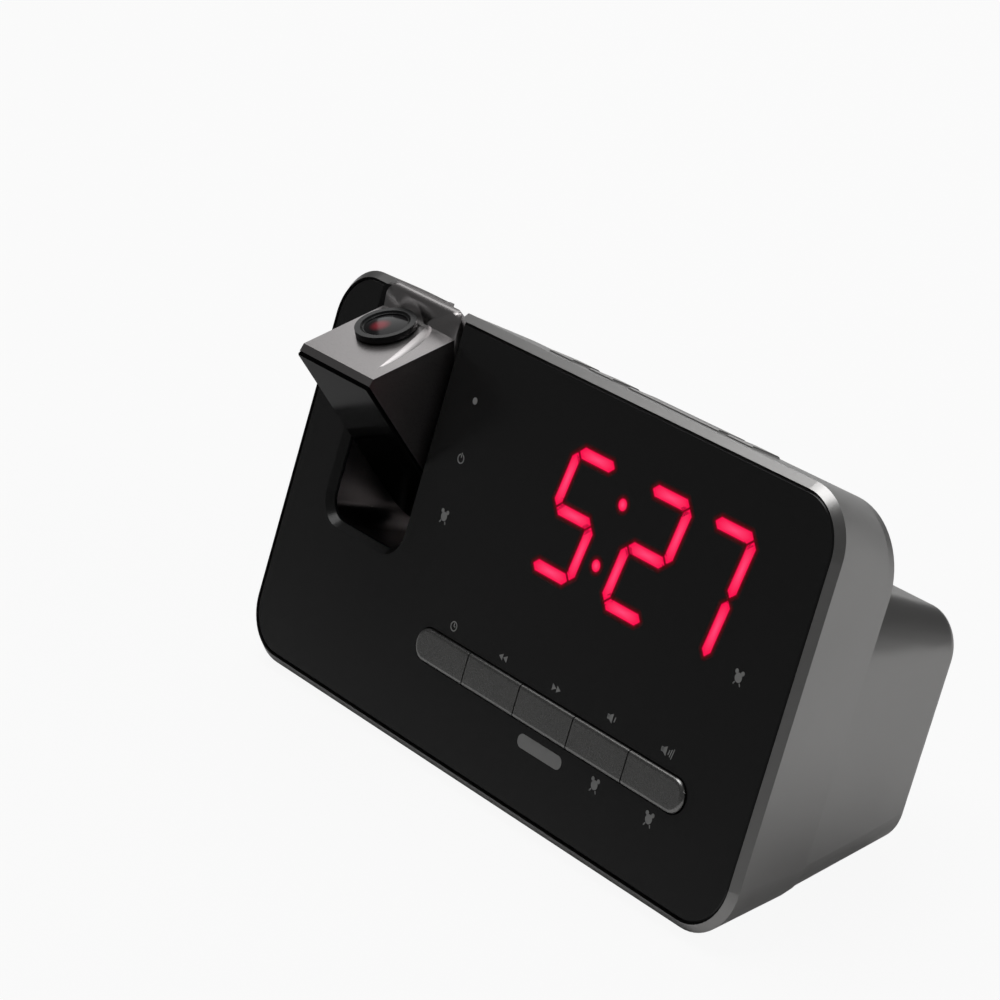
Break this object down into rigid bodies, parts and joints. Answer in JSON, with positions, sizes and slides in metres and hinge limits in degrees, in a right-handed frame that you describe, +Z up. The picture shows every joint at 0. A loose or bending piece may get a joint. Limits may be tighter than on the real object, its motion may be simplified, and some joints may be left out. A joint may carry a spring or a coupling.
{
  "type": "projection alarm clock",
  "caption": "Bedside alarm clock with a leaning black display panel, a bar of keys, top keys and a tilting projector head in a scoop.",
  "frame": {"origin": "centre of the bounding box's footprint, on the surface the clock stands on", "axes": "+X to the clock's right as seen from the front, +Y to its back, +Z up; the panel faces -Y and leans back 25.7 degrees"},
  "size_m": [0.1826, 0.0755, 0.0929],
  "materials": {
    "silver_case": "satin metallic paint",
    "silver_key": "satin metallic paint",
    "black_gloss": "high gloss",
    "black_satin": "satin",
    "lens_glass": "clear",
    "red_light": "lit red",
    "circuit_board": "solder mask",
    "steel": "zinc plated",
    "speaker_paper": "paper cone",
    "rubber": "matte"
  },
  "bodies": {
    "housing": {"front_shell": "silver_case", "front_panel": "black_gloss", "projector_bay": "silver_case", "rear_cover": "silver_case", "display_segments": "red_light", "display_reflector": "black_satin", "display_board": "circuit_board", "key_board": "circuit_board", "key_switches": "black_satin", "top_key_board": "circuit_board", "top_switches": "black_satin", "main_board": "circuit_board", "speaker_basket": "steel", "speaker_cone": "speaker_paper", "speaker_magnet": "steel", "dc_inlet": "black_satin", "case_screws": "steel", "rubber_feet": "rubber", "board_screws": "steel", "battery_tray": "black_satin", "batteries": "steel", "battery_contacts": "steel", "battery_door": "silver_case", "door_screw": "steel"},
    "projector_head": {"head_shell": "silver_case", "head_face": "black_gloss", "lens_barrel": "black_satin", "slide_display": "lens_glass", "projector_lamp": "red_light", "projector_board": "circuit_board", "pivot_pins": "steel"},
    "focus_ring": {"focus_ring": "black_satin", "projection_lens": "lens_glass"},
    "memory_key": {"memory_key": "silver_key"},
    "rewind_key": {"rewind_key": "silver_key"},
    "forward_key": {"forward_key": "silver_key"},
    "volume_down_key": {"volume_down_key": "silver_key"},
    "volume_up_key": {"volume_up_key": "silver_key"},
    "alarm_one_key": {"alarm_one_key": "silver_key"},
    "alarm_two_key": {"alarm_two_key": "silver_key"},
    "snooze_bar": {"snooze_bar": "silver_key"},
    "dimmer_key": {"dimmer_key": "silver_key"}
  },
  "joints": [
    {"name": "head_tilt", "type": "hinge", "parent": "housing", "child": "projector_head", "pos_m": [-0.05865, -0.00079, 0.05668], "axis": [1, 0, 0], "range_deg": [-50.8, 9.2]},
    {"name": "focus_turn", "type": "hinge", "parent": "projector_head", "child": "focus_ring", "pos_m": [-0.062, -0.00541, 0.08452], "axis": [0, -0.0906, 0.9959], "range_deg": [-60, 60]},
    {"name": "memory_key_press", "type": "slide", "parent": "housing", "child": "memory_key", "axis": [0, 0.9011, -0.4337], "range_m": [0, 0.0005], "stiffness_N_per_m": 2500},
    {"name": "rewind_key_press", "type": "slide", "parent": "housing", "child": "rewind_key", "axis": [0, 0.9011, -0.4337], "range_m": [0, 0.0005], "stiffness_N_per_m": 2500},
    {"name": "forward_key_press", "type": "slide", "parent": "housing", "child": "forward_key", "axis": [0, 0.9011, -0.4337], "range_m": [0, 0.0005], "stiffness_N_per_m": 2500},
    {"name": "volume_down_key_press", "type": "slide", "parent": "housing", "child": "volume_down_key", "axis": [0, 0.9011, -0.4337], "range_m": [0, 0.0005], "stiffness_N_per_m": 2500},
    {"name": "volume_up_key_press", "type": "slide", "parent": "housing", "child": "volume_up_key", "axis": [0, 0.9011, -0.4337], "range_m": [0, 0.0005], "stiffness_N_per_m": 2500},
    {"name": "alarm_one_key_press", "type": "slide", "parent": "housing", "child": "alarm_one_key", "axis": [0, -0.4337, -0.9011], "range_m": [0, 0.0008], "stiffness_N_per_m": 1600},
    {"name": "alarm_two_key_press", "type": "slide", "parent": "housing", "child": "alarm_two_key", "axis": [0, -0.4337, -0.9011], "range_m": [0, 0.0008], "stiffness_N_per_m": 1600},
    {"name": "snooze_bar_press", "type": "slide", "parent": "housing", "child": "snooze_bar", "axis": [0, -0.4337, -0.9011], "range_m": [0, 0.0008], "stiffness_N_per_m": 1600},
    {"name": "dimmer_key_press", "type": "slide", "parent": "housing", "child": "dimmer_key", "axis": [0, -0.4337, -0.9011], "range_m": [0, 0.0008], "stiffness_N_per_m": 1600}
  ]
}
